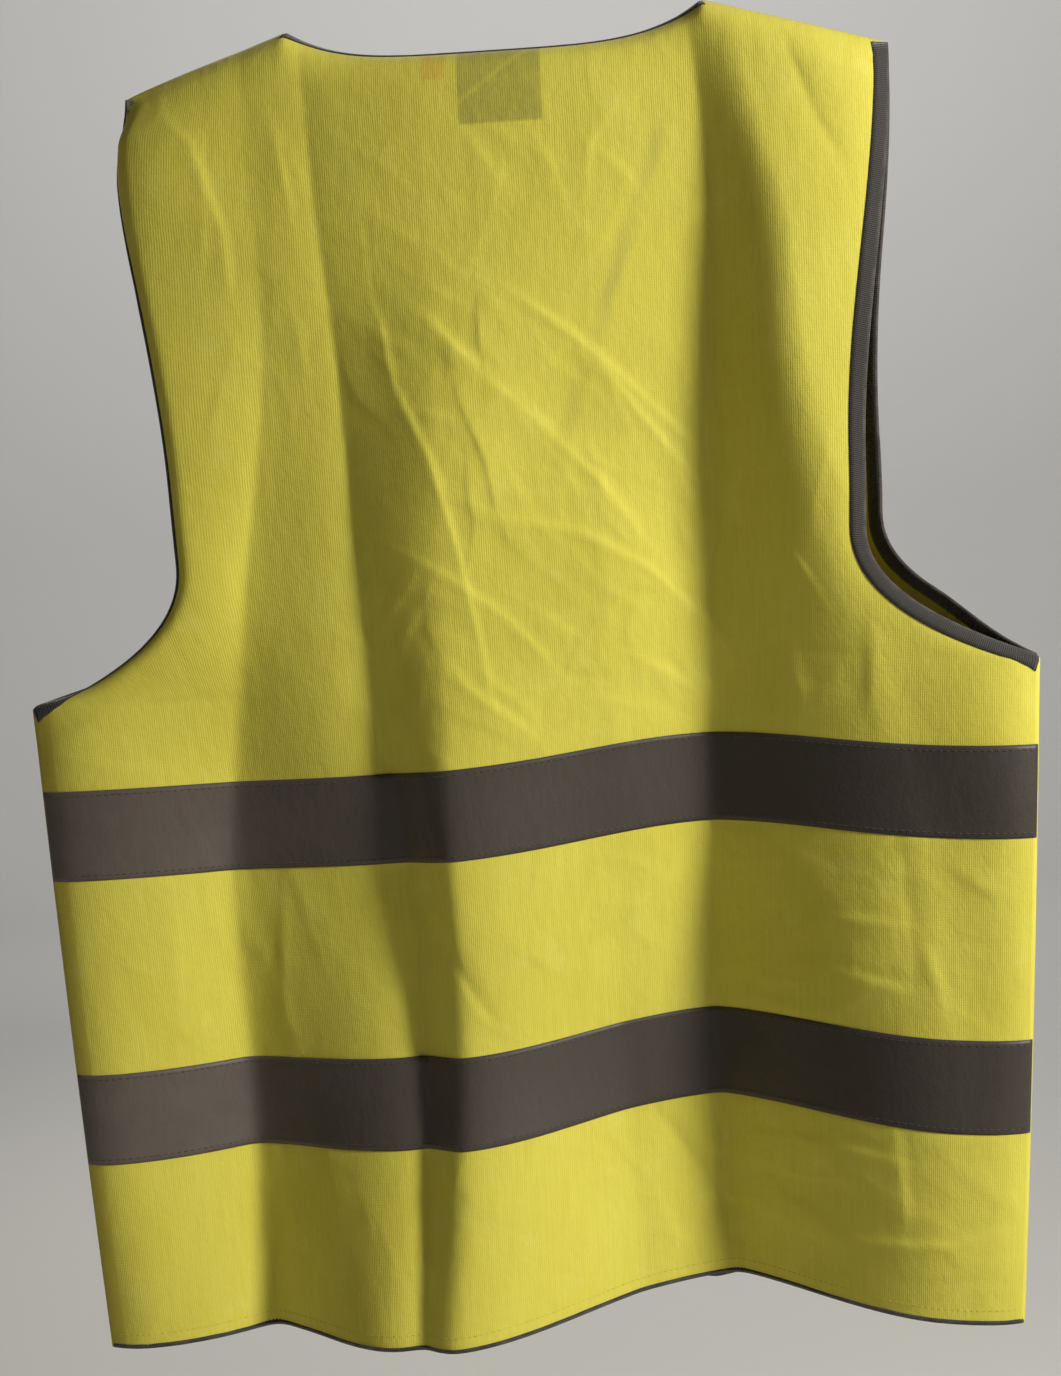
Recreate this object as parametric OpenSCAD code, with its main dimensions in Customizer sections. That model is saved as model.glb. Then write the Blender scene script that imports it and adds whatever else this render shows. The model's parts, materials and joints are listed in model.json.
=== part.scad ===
// High visibility vest, hanging from its shoulders.
// +X is the wearer's left, -Y the wearer's front, +Z up.
// The origin lies midway between the two neck points, on the line of the shoulder seams.
// "Drop" is the distance below the neck points. All sizes are in millimetres.

/* [Body] */
// Length from the neck point to the hem
body_length = 720; // [680:5:760]
// Half the chest width of the vest laid flat
chest_half = 290; // [280:5:310]
// Share of its width that the hanging vest loses in folds at the hem
hem_gather = 0.138; // [0.08:0.002:0.16]
// Thickness of the knitted cloth
cloth_t = 0.8; // [0.6:0.1:1.0]

/* [Neck and shoulders] */
// Half the width of the neck opening
neck_half = 114; // [105:1:120]
// Drop of the back neckline at its middle
neck_dip = 18; // [12:1:24]
// Drop of the point of the V at the front
v_drop = 288; // [270:1:288]
// Half the width across the shoulder tips
shoulder_half = 212; // [205:1:220]
// Drop of the shoulder tips
shoulder_drop = 30; // [24:1:36]

/* [Armholes] */
// Half the width between the armholes where they are closest
arm_half = 193; // [185:1:200]
// Drop at which an armhole starts to curve outwards
arm_low = 288; // [280:1:300]
// Drop of the armpit
armpit = 363; // [350:1:375]

/* [Reflective tape] */
// Width of the tape
tape_w = 50; // [50:1:60]
// Thickness of the tape
tape_t = 0.5; // [0.3:0.1:0.8]
// Drop of the upper tape's top edge
upper_tape = 410; // [400:5:420]
// Drop of the lower tape's top edge
lower_tape = 568; // [560:2:580]

/* [Binding] */
// Width of the binding that shows on each face
bind_w = 9; // [7:0.5:11]
// Thickness of the binding
bind_t = 0.6; // [0.4:0.1:0.8]
// Width of the hem edging that shows on the outside
hem_lip = 2; // [1.5:0.5:4]

/* [Closure and labels] */
// Size of a square hook or loop patch
patch = 34; // [25:1:40]
// Thickness of a hook or loop patch
patch_t = 1.6; // [1.2:0.1:2.0]
// Width of the care label
label_w = 44; // [35:1:46]
// Height of the care label
label_h = 44; // [35:1:55]
// Thickness of a label
label_t = 0.5; // [0.4:0.1:0.8]
// Width of the size tab
tab_w = 12; // [10:1:16]
// Height of the size tab
tab_h = 18; // [15:1:30]

/* [Hidden] */

// Clearance between layers that are sewn face to face
gap = 0.15;
// Distance of each panel's edge from the seam's own plane
seam_gap = 2.5;
// Half the clearance along a front's fold line
fold_gap = 4;
// Half the distance between the two front edges
front_gap = 7;
// Drop at which a front flap leaves the neck point
flap_top = 45;
// Fold line of a front: its distance from the middle at the neck point and at the hem
fold_top = neck_half;
fold_hem = 177;
// How far the front stands forward at the neck points and at the hem
front_top = 24;
front_hem = 100;
// How far the back stands behind the shoulder seam
back_stand = 14;
// Radius over which the cloth rolls off the shoulder
roll_r = 26;
// How far an armhole's edge stands off the seam's plane
arm_rim = 20;
// How much further out than the back the fronts reach at the armholes
front_over = 6;
// Drops at which the folds of the back are set
UPPER = 200;
MIDDLE = 430;
// Folds of the back, right to left: place at the top, middle and hem, then depth at UPPER, MIDDLE and the hem
FOLDS = [
  [-168, -200, -214, -2, -12, 2],
  [-114, -98, -100, -24, -54, -68],
  [40, 42, 62, 2, -8, 10],
  [112, 88, 150, -20, -26, -50],
];

// Rows of the panels: the edge, the inner side of its binding, shares of the way to the yoke, then drops
yoke = 60;
YOKE_ROWS = [0, undef, 0.5, 1];
ARM_ROWS = [100, 150, 200, 245, v_drop];
PIT_STEPS = [0.22, 0.42, 0.6, 0.76, 0.9, 1];
PIT_ROWS = [for (t = PIT_STEPS) mix(arm_low, armpit, t)];
TAPE_STEPS = [0, 0.5, 1];
UPPER_ROWS = [for (t = TAPE_STEPS) upper_tape + tape_w * t];
LOWER_ROWS = [for (t = TAPE_STEPS) lower_tape + tape_w * t];
HEM_ROWS = [
  mix(lower_tape + tape_w, body_length - bind_w, 0.5),
  body_length - bind_w,
  body_length
];
BODY_ROWS = concat(
  [mix(armpit, upper_tape, 0.5)], UPPER_ROWS,
  [mix(upper_tape + tape_w, lower_tape, 0.5)], LOWER_ROWS, HEM_ROWS
);
DROPS = concat(ARM_ROWS, PIT_ROWS, BODY_ROWS);

function mix(a, b, t) = a + (b - a) * t;
function ease(t) = let (c = min(1, max(0, t))) c * c * (3 - 2 * c);
function unit(v) = v / norm(v);

// ---- Outline: drops and half widths ----

function shoulder_line(x) =
  shoulder_drop * max(0, abs(x) - neck_half) / (shoulder_half - neck_half);
function neck_line(x) = neck_dip * (1 - pow(min(1, abs(x) / neck_half), 4));
function top_line(x) = abs(x) < neck_half ? neck_line(x) : shoulder_line(x);

function flat_half(v) =
  v <= shoulder_drop ? shoulder_half :
  v <= arm_low ? mix(shoulder_half, arm_half, ease((v - shoulder_drop) / (arm_low * 0.75))) :
  v < armpit ? mix(arm_half, chest_half, pow((v - arm_low) / (armpit - arm_low), 2.2)) :
  chest_half;
function gather(v) = 1 - hem_gather * pow(v / body_length, 1.5);
function half_width(v) = flat_half(v) * gather(v);
function arm_share(v) =
  v < shoulder_drop || v > armpit ? 0 : sin(180 * (v - shoulder_drop) / (armpit - shoulder_drop));
function half_at(face, v) = half_width(v) + (face < 0 ? front_over * arm_share(v) : 0);

function fold_line(v) = mix(fold_top, fold_hem, v / body_length);
function front_edge(v) = v < v_drop ? mix(neck_half, front_gap, v / v_drop) : front_gap;

// ---- Surface: how far back each point of the cloth lies ----

function fold_at(f, v) = lookup(v, [[0, f[0]], [MIDDLE, f[1]], [body_length, f[2]]]);
function fold_depth(f, v) = lookup(v, [[0, 0], [UPPER, f[3]], [MIDDLE, f[4]], [body_length, f[5]]]);
function knots(v) = concat(
  [[-half_width(v), 0]], [for (f = FOLDS) [fold_at(f, v), fold_depth(f, v)]], [[half_width(v), 0]]
);
function between(k, x, i = 0) =
  i >= len(k) - 2 || x < k[i + 1][0]
    ? mix(k[i][1], k[i + 1][1], ease((x - k[i][0]) / (k[i + 1][0] - k[i][0])))
    : between(k, x, i + 1);

function roll(x, v) = sqrt(1 - pow(1 - min(1, max(0, v - top_line(x)) / roll_r), 2));
function reach(face, x, v) = min(1, abs(x) / half_at(face, v));

function back_y(x, v) =
  let (edge = pow(reach(1, x, v), 6), stand = back_stand * roll(x, v) + between(knots(v), x))
  seam_gap + arm_rim * arm_share(v) * edge + stand * (1 - edge);
function front_stand(v) = mix(front_top, front_hem, v / body_length);
function front_y(x, v) =
  let (edge = pow(reach(-1, x, v), 10))
  -seam_gap - arm_rim * arm_share(v) * edge - front_stand(v) * roll(x, v) * (1 - edge);

// A face is 1 for the back and -1 for a front.
function spot(face, x, v) = [x, face > 0 ? back_y(x, v) : front_y(x, v), -v];
function outward(face, x, v) =
  let (
    d = 0.5,
    across = spot(face, x + d, v) - spot(face, x - d, v),
    down = spot(face, x, v + d) - spot(face, x, v - d)
  )
  face * unit(cross(down, across)) * -1;

// ---- Solids from grids and rings ----

// A grid is rows of columns, and each of its entries is a [point, outward] pair.
// A four-sided patch becomes two triangles along its shorter diagonal, so that layers which
// share a grid never cross.
function patch_faces(p, a, b, c, d, flip) =
  let (
    faces = norm(p[a] - p[c]) <= norm(p[b] - p[d]) ? [[a, b, c], [a, c, d]] : [[a, b, d], [b, c, d]]
  )
  flip ? [for (f = faces) [f[2], f[1], f[0]]] : faces;
function grid_faces(p, rows, columns, flip) = [
  for (j = [0:rows - 2], i = [0:columns - 2])
    let (a = j * columns + i, d = a + columns)
    each patch_faces(p, a, a + 1, d + 1, d, flip)
];
function offset_points(grid, distance) = [for (r = grid) for (g = r) g[0] + g[1] * distance];

// A thin solid between two offsets of a grid
module cloth(grid, low, high) {
  rows = len(grid);
  columns = len(grid[0]);
  n = rows * columns;
  m = floor((rows - 1) / 2);
  k = floor((columns - 1) / 2);
  here = grid[m][k];
  flip = cross(grid[m][k + 1][0] - here[0], grid[m + 1][k][0] - here[0]) * here[1] > 0;
  tops = offset_points(grid, high);
  bottoms = offset_points(grid, low);
  upper = grid_faces(tops, rows, columns, flip);
  lower = [for (f = grid_faces(bottoms, rows, columns, !flip)) f + [n, n, n]];
  border = concat(
    [for (i = [0:columns - 1]) i],
    [for (j = [1:rows - 1]) j * columns + columns - 1],
    [for (i = [columns - 2:-1:0]) (rows - 1) * columns + i],
    [for (j = [rows - 2:-1:1]) j * columns]
  );
  points = concat(tops, bottoms);
  walls = [
    for (i = [0:len(border) - 1])
      let (a = border[i], b = border[(i + 1) % len(border)])
      each patch_faces(points, a, a + n, b + n, b, flip)
  ];
  polyhedron(points, concat(upper, lower, walls), convexity = 6);
}

// One ring of a binding, from the cloth's edge, the ends of its outer and inner leg, and the way
// out of the cloth
function u_ring(edge, outer, inner, out) =
  let (near = cloth_t / 2 + gap, far = near + bind_t)
  [
    outer[0] + outer[1] * far, outer[0] + outer[1] * near,
    edge[0] + out * gap + edge[1] * near, edge[0] + out * gap - edge[1] * near,
    inner[0] - inner[1] * near, inner[0] - inner[1] * far,
    edge[0] + out * (gap + bind_t) - edge[1] * far, edge[0] + out * (gap + bind_t) + edge[1] * far
  ];

// A strip folded round an edge of the cloth, through a list of such rings
module binding(rings) {
  n = 8;
  last = len(rings) - 1;
  first = rings[0];
  flip = cross(first[0] - first[7], first[6] - first[7]) * (rings[1][7] - first[7]) > 0;
  points = [for (r = rings) each r];
  walls = [
    for (j = [0:last - 1], i = [0:n - 1])
      let (a = j * n + i, b = j * n + (i + 1) % n)
      each patch_faces(points, a, b, b + n, a + n, flip)
  ];
  cap = [[0, 1, 2], [0, 2, 7], [2, 3, 7], [3, 6, 7], [3, 4, 5], [3, 5, 6]];
  back_cap = [for (f = cap) flip ? f : [f[2], f[1], f[0]]];
  front_cap = [for (f = back_cap) [f[2], f[1], f[0]] + [n, n, n] * last];
  polyhedron(points, concat(walls, back_cap, front_cap), convexity = 8);
}

// ---- Grids ----

function pair(face, x, v) = [spot(face, x, v), outward(face, x, v)];
function blend(p, q, t) = [mix(p[0], q[0], t), unit(mix(p[1], q[1], t))];

// A binding stays as wide as it is where the edge of the cloth slants.
function edge_slope(face, v) =
  let (d = 0.5) v < arm_low || v > armpit ? 0 : max(0, (half_at(face, v) - half_at(face, v - d)) / d);
function bound_width(face, v) = bind_w * norm([1, edge_slope(face, v)]);

// Drop of a column at one of the yoke's rows
function yoke_drop(x, row) =
  let (top = top_line(x), t = YOKE_ROWS[row]) is_undef(t) ? top + bind_w : mix(top, yoke, t);
YOKE_COUNT = len(YOKE_ROWS);
ARM_COUNT = YOKE_COUNT + len(ARM_ROWS) + len(PIT_ROWS);

BACK_COLUMNS = 20;
function back_x(i, v) =
  let (w = half_width(v), inner = w - bound_width(1, v), last = BACK_COLUMNS - 1)
  i == 0 ? -w : i == last ? w : mix(-inner, inner, (i - 1) / (last - 2));
function back_row(v) = [for (i = [0:BACK_COLUMNS - 1]) pair(1, back_x(i, v), v)];
function back_yoke_row(row) = [
  for (i = [0:BACK_COLUMNS - 1]) let (x = back_x(i, shoulder_drop)) pair(1, x, yoke_drop(x, row))
];
BACK_GRID = concat(
  [for (row = [0:YOKE_COUNT - 1]) back_yoke_row(row)],
  [for (v = DROPS) back_row(v)]
);

// The outer part of a front, from its fold line to the armhole and the side seam
SIDE_COLUMNS = 6;
function side_x(i, v) =
  let (inner = fold_line(v) + fold_gap, w = half_at(-1, v), last = SIDE_COLUMNS - 1)
  i == last ? w : mix(inner, w - bound_width(-1, v), i / (last - 1));
function side_row(side, v) = [for (i = [0:SIDE_COLUMNS - 1]) pair(-1, side * side_x(i, v), v)];
function side_yoke_row(side, row) = [
  for (i = [0:SIDE_COLUMNS - 1]) let (x = side_x(i, shoulder_drop)) pair(-1, side * x, yoke_drop(x, row))
];
function side_grid(side) = concat(
  [for (row = [0:YOKE_COUNT - 1]) side_yoke_row(side, row)],
  [for (v = DROPS) side_row(side, v)]
);

// The inner part of a front, from its bound edge to the fold line
FLAP_COLUMNS = 7;
function flap_x(i, v) =
  let (edge = front_edge(v), outer = fold_line(v) - fold_gap, last = FLAP_COLUMNS - 1)
  i == 0 ? edge : mix(edge + min(bind_w, (outer - edge) / 2), outer, (i - 1) / (last - 1));
function flap_row(side, v) = [for (i = [0:FLAP_COLUMNS - 1]) pair(-1, side * flap_x(i, v), v)];
function flap_grid(side) = [for (v = concat([flap_top, yoke], DROPS)) flap_row(side, v)];

// ---- Sub-parts ----

module panel(grid) {
  color("gold") cloth(grid, -cloth_t / 2, cloth_t / 2);
}

module tape(grid) {
  low = cloth_t / 2 + gap;
  color("dimgray") cloth(grid, low, low + tape_t);
}
module back_tape(rows) {
  tape([for (v = rows) back_row(v)]);
}
module front_tape(side, rows) {
  tape([for (v = rows) side_row(side, v)]);
}
// A row of a flap without its bound edge, which stops just clear of the binding
function clear_row(side, v) = [
  for (i = [1:FLAP_COLUMNS - 1]) pair(-1, side * (flap_x(i, v) + (i == 1 ? 1 : 0)), v)
];
module flap_tape(side, rows) {
  tape([for (v = rows) clear_row(side, v)]);
}

module dark_binding(rings) {
  color("darkslategray") binding(rings);
}
module back_neck_binding() {
  edge = BACK_GRID[0];
  leg = BACK_GRID[1];
  dark_binding([
    for (i = [0:BACK_COLUMNS - 1])
      if (abs(edge[i][0][0]) < neck_half - bind_w) u_ring(edge[i], leg[i], leg[i], [0, 0, 1])
  ]);
}
module front_binding(side) {
  dark_binding([for (row = flap_grid(side)) u_ring(row[0], row[1], row[1], [-side, 0, 0])]);
}

// One strip up the back of an armhole, over the shoulder seam and down the front
function arm_ring(face, side, edge, leg) =
  u_ring(edge, leg, leg, unit([side, 0, edge_slope(face, -edge[0][2])]));
module armhole_binding(side) {
  front = side_grid(side);
  at = side > 0 ? BACK_COLUMNS - 1 : 0;
  next = at - side;
  end = SIDE_COLUMNS - 1;
  dark_binding(concat(
    [for (j = [ARM_COUNT - 1:-1:0]) arm_ring(1, side, BACK_GRID[j][at], BACK_GRID[j][next])],
    [for (j = [0:ARM_COUNT - 1]) arm_ring(-1, side, front[j][end], front[j][end - 1])]
  ));
}

// The hem's edging is turned to the inside, so that only its lip shows.
module hem_edging(edge, inner) {
  lip = hem_lip / bind_w;
  dark_binding([
    for (i = [0:len(edge) - 1]) u_ring(edge[i], blend(edge[i], inner[i], lip), inner[i], [0, 0, -1])
  ]);
}
module back_hem_edging() {
  hem_edging(back_row(body_length), back_row(body_length - bind_w));
}
module front_hem_edging(side) {
  hem_edging(side_row(side, body_length), side_row(side, body_length - bind_w));
}
module flap_hem_edging(side) {
  hem_edging(clear_row(side, body_length), clear_row(side, body_length - bind_w));
}

// Seam allowances: the overlocked edges of two panels, turned to the inside
allow_w = 8;
allow_t = 2.4;
SEAM_DROPS = concat([armpit + bind_w + 3], BODY_ROWS);
module side_seam(side) {
  outer = [for (v = SEAM_DROPS) side * (half_width(v) - 1)];
  inner = [for (v = SEAM_DROPS) side * (half_width(v) - 1 - allow_w)];
  grid = [for (i = [0:len(SEAM_DROPS) - 1]) [
    for (x = [outer[i], inner[i]]) [[x, 0, -min(SEAM_DROPS[i], body_length - 2)], [0, 1, 0]]
  ]];
  color("goldenrod") cloth(grid, -allow_t / 2, allow_t / 2);
}
module shoulder_seam(side) {
  steps = 6;
  grid = [for (depth = [2, allow_w]) [
    for (i = [0:steps])
      let (x = mix(neck_half + 6, shoulder_half - bind_w - 3, i / steps))
      [[side * x, 0, -shoulder_line(x) - depth], [0, 1, 0]]
  ]];
  color("goldenrod") cloth(grid, -allow_t / 2, allow_t / 2);
}

// Hook patches lie inside the right flap and loop patches outside the left one.
upper_patch = 350;
lower_patch = 500;
patch_edge = front_gap + bind_w + 6;
module closure_patch(side, v, low, high) {
  steps = 2;
  grid = [for (j = [0:steps]) [
    for (i = [0:steps])
      pair(-1, side * (patch_edge + patch * i / steps), v + patch * j / steps)
  ]];
  color("black") cloth(grid, low, high);
}
module hook_patch(v) {
  closure_patch(-1, v, -cloth_t / 2 - gap - patch_t, -cloth_t / 2 - gap);
}
module loop_patch(v) {
  closure_patch(1, v, cloth_t / 2 + gap, cloth_t / 2 + gap + patch_t);
}

// Labels hang from the edge of the back neckline, inside the cloth and clear of its binding.
label_y = seam_gap - 3;
label_drop = neck_dip + 2;
label_x = -25;
tab_x = 26;
module neck_label(x, w, h) {
  translate([x, label_y - label_t / 2, -label_drop - h]) cube([w, label_t, h]);
}
module care_label() {
  color("darkslategray") neck_label(label_x, label_w, label_h);
}
module size_tab() {
  color("darkorange") neck_label(tab_x, tab_w, tab_h);
}

panel(BACK_GRID);  // back_panel
back_tape(UPPER_ROWS);  // back_upper_tape
back_tape(LOWER_ROWS);  // back_lower_tape
back_neck_binding();
back_hem_edging();
panel(side_grid(1));  // left_front_panel
front_tape(1, UPPER_ROWS);  // left_front_upper_tape
front_tape(1, LOWER_ROWS);  // left_front_lower_tape
front_hem_edging(1);  // left_front_hem_edging
panel(flap_grid(1));  // left_flap
flap_tape(1, UPPER_ROWS);  // left_flap_upper_tape
flap_tape(1, LOWER_ROWS);  // left_flap_lower_tape
flap_hem_edging(1);  // left_flap_hem_edging
front_binding(1);  // left_front_binding
armhole_binding(1);  // left_armhole_binding
shoulder_seam(1);  // left_shoulder_seam
side_seam(1);  // left_side_seam
panel(side_grid(-1));  // right_front_panel
front_tape(-1, UPPER_ROWS);  // right_front_upper_tape
front_tape(-1, LOWER_ROWS);  // right_front_lower_tape
front_hem_edging(-1);  // right_front_hem_edging
panel(flap_grid(-1));  // right_flap
flap_tape(-1, UPPER_ROWS);  // right_flap_upper_tape
flap_tape(-1, LOWER_ROWS);  // right_flap_lower_tape
flap_hem_edging(-1);  // right_flap_hem_edging
front_binding(-1);  // right_front_binding
armhole_binding(-1);  // right_armhole_binding
shoulder_seam(-1);  // right_shoulder_seam
side_seam(-1);  // right_side_seam
hook_patch(upper_patch);  // upper_hook_patch
hook_patch(lower_patch);  // lower_hook_patch
loop_patch(upper_patch);  // upper_loop_patch
loop_patch(lower_patch);  // lower_loop_patch
care_label();
size_tab();
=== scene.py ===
"""A high visibility vest that hangs by its shoulders, seen from the back.

The vest's lengths are millimetres until mesh_piece() turns them into the frame's metres, and those of
materials, camera and lights are metres.
A place on a panel is (x, v): x across, positive on the wearer's left, and v the drop below the neck points.
"""
import math
import bpy
import numpy as np
from mathutils import Matrix, Vector
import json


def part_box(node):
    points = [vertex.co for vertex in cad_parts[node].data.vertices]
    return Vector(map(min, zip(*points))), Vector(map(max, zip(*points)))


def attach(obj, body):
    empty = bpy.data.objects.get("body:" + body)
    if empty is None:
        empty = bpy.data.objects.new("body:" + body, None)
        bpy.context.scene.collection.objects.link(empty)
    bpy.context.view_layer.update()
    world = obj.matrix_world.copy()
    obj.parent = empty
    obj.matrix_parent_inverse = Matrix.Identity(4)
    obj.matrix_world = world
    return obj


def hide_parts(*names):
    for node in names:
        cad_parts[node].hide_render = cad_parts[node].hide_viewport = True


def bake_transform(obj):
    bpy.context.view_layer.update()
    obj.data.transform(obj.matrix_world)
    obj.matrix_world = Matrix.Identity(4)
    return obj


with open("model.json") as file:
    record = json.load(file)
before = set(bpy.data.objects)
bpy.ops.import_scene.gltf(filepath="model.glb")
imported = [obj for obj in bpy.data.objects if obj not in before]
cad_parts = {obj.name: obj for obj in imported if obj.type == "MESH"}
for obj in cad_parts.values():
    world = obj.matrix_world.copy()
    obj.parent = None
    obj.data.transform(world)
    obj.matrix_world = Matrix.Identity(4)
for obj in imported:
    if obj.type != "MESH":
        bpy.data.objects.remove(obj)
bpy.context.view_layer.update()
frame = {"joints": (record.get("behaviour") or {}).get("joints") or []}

# ---------------------------------------------------------------- the cut, as in the CAD model

LENGTH = 720          # neck points to hem
CHEST_HALF = 290      # half of the back's width at the chest
GATHER = 0.138        # share of its width that the hem loses in folds
NECK_HALF = 114
NECK_DIP = 18
V_DROP = 288          # where the V-neck ends
SHOULDER_HALF = 212
SHOULDER_DROP = 30
ARM_HALF = 193        # half of the width at the narrowest place between the armholes
ARM_LOW = 288
ARMPIT = 363
FRONT_EDGE = 7        # from the middle line to each front edge
YOKE = 60             # rows of the mesh follow the shoulder line down to here
TAPE_W = 50
UPPER_TAPE = 410
LOWER_TAPE = 568
BIND_W = 9
SIDES = {"left": 1, "right": -1}

KNIT = 0.7            # thickness of the cloth
SEAM_GAP = 0.45       # from the seam's plane to the middle of each panel's cloth
BODY_GAP = 2.5
ROLL = 26             # drop over which the cloth rolls off the shoulder line
BACK_STAND = 14       # how far the back stands off the seam's plane
BACK_ARM_OPEN = 10    # how far the back's armhole edges stand off the seam's plane
FRONT_ARM_OPEN = 20   # and the fronts' edges
FRONT_TOP = 24        # how far the fronts stand off the seam's plane at the top
FRONT_HEM = 100       # and at the hem
FRONT_OVER = 6        # how far a front's armhole edge shows past the back's
LEFT_OUT = 13         # how far the back's left armhole edge is let out, and the front's drawn in behind it
LEFT_CURL = (14, 6)   # width of the cloth that curls in there, and the radius
LEFT_TIP_IN = 7       # how far both edges are drawn in at the left shoulder tip
RIGHT_GAPE = (8, 9)   # how far the right front's armhole edge stands out and up
NECK_LEAN = 8         # how far the back's neck edge leans forward
NECK_RAISE = 0.2      # and rises, as a share of the lean

CREASE_SCALE = 1.5    # how much higher the back's creases are than BACK_CREASES says
INNER_HALF = 165      # the back's middle columns are as close as on a panel of this half-width
BACK_ROWS = 373
BACK_COLUMNS = 281
FRONT_ROWS = 313
FRONT_COLUMNS = 119


def ease(t):
    t = np.clip(t, 0, 1)
    return t * t * (3 - 2 * t)


def mix(a, b, t):
    return a + (b - a) * t


def through(v, stops):
    """A smooth line through (drop, value) stops."""
    at, value = np.array(stops, float).T
    slope = np.gradient(value, at)
    i = np.clip(np.searchsorted(at, v) - 1, 0, len(at) - 2)
    span = at[i + 1] - at[i]
    t = np.clip((v - at[i]) / span, 0, 1)
    start = value[i] * (1 + 2 * t) * (1 - t) ** 2 + span * slope[i] * t * (1 - t) ** 2
    end = value[i + 1] * t * t * (3 - 2 * t) - span * slope[i + 1] * t * t * (1 - t)
    return start + end


def shoulder_line(x):
    return SHOULDER_DROP * np.maximum(0, np.abs(x) - NECK_HALF) / (SHOULDER_HALF - NECK_HALF)


def neck_line(x):
    return NECK_DIP * (1 - np.minimum(1, np.abs(x) / NECK_HALF) ** 4)


def back_top(x):
    return np.where(np.abs(x) < NECK_HALF, neck_line(x), shoulder_line(x))


def flat_half(v):
    """Half of the cut's width at a drop."""
    v = np.asarray(v, float)
    waist = mix(SHOULDER_HALF, ARM_HALF, ease((v - SHOULDER_DROP) / 216))
    scoop = ARM_HALF + (CHEST_HALF - ARM_HALF) * np.clip((v - ARM_LOW) / (ARMPIT - ARM_LOW), 0, 1) ** 2.2
    return np.where(v < ARM_LOW, waist, scoop)


def gather(v):
    return 1 - GATHER * (np.clip(v, 0, LENGTH) / LENGTH) ** 1.5


def arm_share(v):
    """How far an armhole stands open, 0 at its two ends and 1 in its middle."""
    inside = (v > SHOULDER_DROP) & (v < ARMPIT)
    return np.where(inside, np.sin(np.pi * (v - SHOULDER_DROP) / (ARMPIT - SHOULDER_DROP)), 0)


def half_width(v, front=False):
    return flat_half(v) * gather(v) + (FRONT_OVER * arm_share(v) if front else 0)


def front_edge(v):
    return np.where(v < V_DROP, mix(NECK_HALF, FRONT_EDGE, np.clip(v / V_DROP, 0, 1)), FRONT_EDGE)


def row_half(d, front=False):
    """Half of the width of the mesh row at depth d, whose ends drop with the shoulder."""
    end = d + SHOULDER_DROP * np.clip(1 - d / YOKE, 0, 1)
    return half_width(end, front)


# ---------------------------------------------------------------- how the cloth hangs

# Each fold line of the back, from the wearer's right to left: its stops (drop, x) and (drop, depth),
# and how steeply the cloth runs into it from its right and from its left, where 0 is a round ridge.
BACK_FOLDS = [
    ([(0, -124), (60, -137), (110, -150), (200, -158), (300, -180), (435, -210), (593, -226), (720, -214)],
     [(0, 0), (60, 2), (110, 3), (200, 3), (300, -4), (435, -18), (593, -8), (720, -7)], 0.5, 0.1),
    ([(0, -104), (60, -110), (100, -113), (200, -111), (300, -106), (435, -98), (593, -96), (720, -101)],
     [(0, -1), (60, -8), (100, -14), (200, -26), (300, -38), (435, -58), (593, -76), (720, -72)], 1.3, 0.75),
    ([(0, -50), (200, -45), (435, -45), (593, -42), (720, -46)],
     [(0, 0), (200, -13), (300, -20), (435, -38), (593, -59), (720, -52)], 1.0, 1.0),
    ([(0, 40), (200, 41), (435, 44), (593, 44), (720, 54)],
     [(0, 1), (100, 2), (200, 2), (435, -8), (593, -12), (720, 12)], 0.3, 0),
    ([(0, 104), (100, 100), (200, 92), (300, 89), (390, 80), (480, 69), (640, 67), (720, 75)],
     [(0, -1), (100, -4), (200, -7), (300, -16), (390, -24), (480, -30), (640, -18), (720, 3)], 1.3, -0.9),
    ([(0, 140), (200, 135), (300, 150), (435, 172), (593, 172), (720, 164)],
     [(0, -2), (100, -5), (200, -10), (300, -21), (435, -39), (593, -56), (720, -52)], 1.2, 1.5),
]
# The same for a front, from its front edge outwards: the depth is away from the body.
FRONT_FOLDS = [
    ([(0, 118), (288, 40), (720, 34)], [(0, 0), (288, 4), (720, 8)], 0.4, 0),
    ([(0, 128), (288, 84), (720, 88)], [(0, 0), (288, -6), (720, -13)], 1.2, 1.2),
    ([(0, 150), (288, 132), (720, 140)], [(0, 0), (288, 3), (720, 9)], 0, 0),
    ([(0, 172), (288, 160), (720, 186)], [(0, 0), (288, -5), (720, -14)], 1.3, 1.2),
    ([(0, 190), (288, 178), (720, 222)], [(0, 0), (288, 2), (720, 6)], 0, 0.3),
]


def folded(x, v, folds, low, high):
    """The depth of vertical folds at (x, v), between the panel's edges low and high, where it is 0."""
    zero = np.zeros_like(x)
    lines = [(low, zero, 1.0, 1.0)]
    lines += [(through(v, place), through(v, depth), before, after) for place, depth, before, after in folds]
    lines += [(high, zero, 1.0, 1.0)]
    depth = zero.copy()
    for (x0, y0, _, leave), (x1, y1, meet, _) in zip(lines, lines[1:]):
        t = np.clip((x - x0) / np.maximum(x1 - x0, 1), 0, 1)
        rise = leave * (t ** 3 - 2 * t ** 2 + t) + (3 * t ** 2 - 2 * t ** 3) + meet * (t ** 3 - t ** 2)
        depth = np.where((x >= x0) & (x <= x1), mix(y0, y1, rise), depth)
    return depth


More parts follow.
